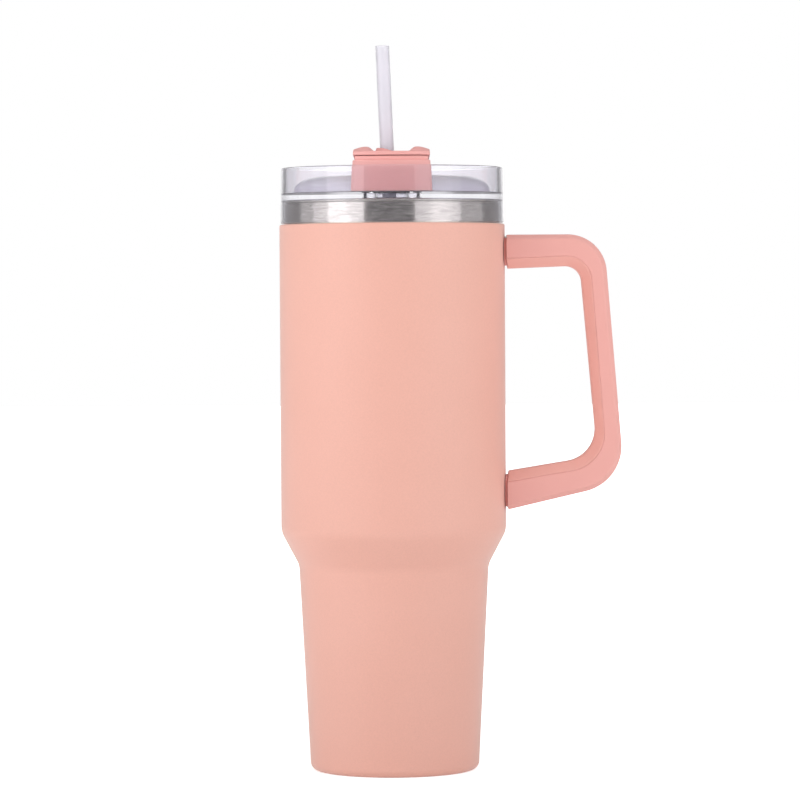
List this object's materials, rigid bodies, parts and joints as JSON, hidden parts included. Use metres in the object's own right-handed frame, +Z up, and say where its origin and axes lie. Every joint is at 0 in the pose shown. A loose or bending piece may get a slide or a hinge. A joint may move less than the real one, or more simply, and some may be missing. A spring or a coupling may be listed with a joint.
{
  "type": "insulated tumbler with lid",
  "caption": "Tall double-walled tumbler narrowing to a cup-holder foot, with a side handle, clear press-on lid, turning drink cover and straw.",
  "frame": {"origin": "on the tumbler's axis, in the plane of the foot that it stands on", "axes": "+Z up along the tumbler's axis, +X towards the handle, -Y towards the drink opening in the lid"},
  "size_m": [0.148, 0.098, 0.3152],
  "materials": {
    "powder_coat": "fine matte powder coat",
    "brushed_steel": "circumferentially brushed",
    "copper_foil": "bright foil",
    "glass_solder": "dark fused glass",
    "getter_metal": "sintered",
    "pink_plastic": "satin moulded",
    "soft_grip": "soft matte overmould",
    "pad_rubber": "matte",
    "clear_plastic": "clear, polished",
    "silicone": "translucent, satin",
    "straw_plastic": "frosted, translucent"
  },
  "bodies": {
    "vessel": {"outer_shell": "powder_coat", "inner_liner": "brushed_steel", "liner_foil": "copper_foil", "base_plate": "brushed_steel", "base_cap": "brushed_steel", "vacuum_seal": "glass_solder", "getter": "getter_metal", "getter_strap": "brushed_steel", "handle_frame": "pink_plastic", "handle_grip": "soft_grip", "upper_bracket": "brushed_steel", "upper_pad": "pad_rubber", "upper_screw": "brushed_steel", "lower_bracket": "brushed_steel", "lower_pad": "pad_rubber", "lower_screw": "brushed_steel"},
    "lid": {"lid_body": "clear_plastic", "lid_gasket": "silicone", "straw_seal": "silicone", "retainer_ring": "clear_plastic"},
    "cover": {"turn_disc": "clear_plastic", "turn_bar": "pink_plastic", "bar_cap": "pink_plastic", "hub_seal": "silicone", "sip_seal": "silicone", "vent_seal": "silicone"},
    "straw": {"straw": "straw_plastic"}
  },
  "joints": [
    {"name": "lid_lift", "type": "slide", "parent": "vessel", "child": "lid", "axis": [0, 0, 1], "range_m": [0, 0.08]},
    {"name": "cover_turn", "type": "hinge", "parent": "lid", "child": "cover", "pos_m": [0, 0, 0.2508], "axis": [0, 0, 1], "range_deg": [0, 90]},
    {"name": "straw_pull", "type": "slide", "parent": "lid", "child": "straw", "axis": [-0.041, 0, 0.9992], "range_m": [0, 0.25]}
  ]
}
